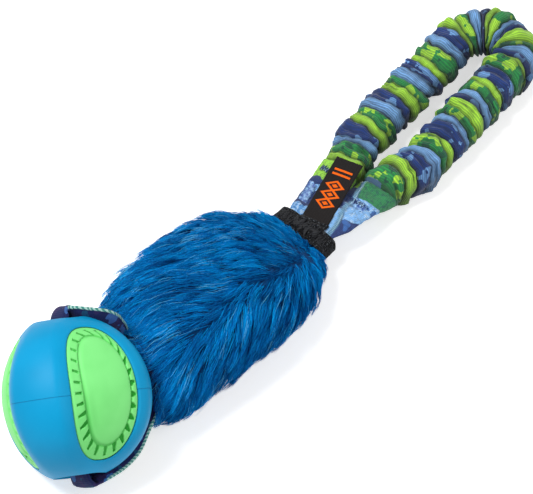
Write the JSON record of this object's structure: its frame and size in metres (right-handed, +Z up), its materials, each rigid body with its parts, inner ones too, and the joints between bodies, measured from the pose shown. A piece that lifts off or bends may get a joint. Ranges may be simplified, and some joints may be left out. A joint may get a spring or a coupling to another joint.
{
  "type": "bungee tug toy",
  "caption": "Dog tug toy lying flat: a flattened rubber ball with soft oval inserts on a looped strap, a fur sleeve bound at its neck, and a ruched elastic loop handle.",
  "frame": {"origin": "on the flat underside of the fur sleeve, under the middle of its length's swollen part", "axes": "+X from the ball to the handle, +Y to the left, +Z up from the surface the toy lies on"},
  "size_m": [0.3331, 0.0698, 0.0696],
  "materials": {
    "ball_rubber": "smooth satin",
    "insert_rubber": "smooth satin",
    "strap_fabric": "printed knit",
    "black_webbing": "woven",
    "black_thread": "twisted thread",
    "blue_thread": "twisted thread",
    "fur": "long pile",
    "binding_tape": "ribbed tape",
    "base_fabric": "printed knit",
    "bungee": "braided elastic",
    "ruched_fabric": "printed ribbed knit",
    "label_tape": "woven ribbon"
  },
  "bodies": {
    "fur_body": {"fur_sleeve": "fur", "core_webbing": "black_webbing", "core_stitching": "black_thread", "sleeve_seam_thread": "blue_thread", "binding_tape": "binding_tape", "binding_thread": "black_thread"},
    "ball_strap": {"strap_cover": "strap_fabric", "strap_webbing": "black_webbing"},
    "ball": {"ball_body": "ball_rubber", "ball_insert_1": "insert_rubber", "ball_insert_2": "insert_rubber", "ball_insert_3": "insert_rubber"},
    "handle": {"handle_base_left": "base_fabric", "handle_base_right": "base_fabric", "elastic_end_left": "bungee", "elastic_end_right": "bungee", "base_bartack_left": "blue_thread", "base_bartack_right": "blue_thread", "ruched_tube_left": "ruched_fabric", "ruched_tube_right": "ruched_fabric", "bungee_core_left": "bungee", "bungee_core_right": "bungee"},
    "loop_end": {"ruched_tube_bend": "ruched_fabric", "bungee_core_bend": "bungee"},
    "label": {"label": "label_tape"}
  },
  "joints": [
    {"name": "ball_swing", "type": "hinge", "parent": "fur_body", "child": "ball_strap", "pos_m": [-0.023, 0, 0.022], "axis": [0, 1, 0], "range_deg": [-30, 35], "deforming": ["strap_cover", "strap_webbing"]},
    {"name": "ball_spin", "type": "hinge", "parent": "ball_strap", "child": "ball", "pos_m": [-0.085, 0, 0.035], "axis": [0.5033, 0.6282, 0.5934], "range_deg": [-60, 60]},
    {"name": "handle_swing", "type": "hinge", "parent": "fur_body", "child": "handle", "pos_m": [0.0674, 0, 0.01595], "axis": [0, -1, 0], "range_deg": [-60, 45], "deforming": ["handle_base_left", "handle_base_right", "elastic_end_left", "elastic_end_right"]},
    {"name": "bungee_stretch", "type": "slide", "parent": "handle", "child": "loop_end", "axis": [0.9957, 0.0924, 0], "range_m": [0, 0.12], "stiffness_N_per_m": 150, "deforming": ["ruched_tube_left", "ruched_tube_right", "bungee_core_left", "bungee_core_right"]},
    {"name": "label_lift", "type": "hinge", "parent": "handle", "child": "label", "pos_m": [0.0674, 0, 0.01595], "axis": [0, -1, 0], "range_deg": [0, 60]}
  ]
}
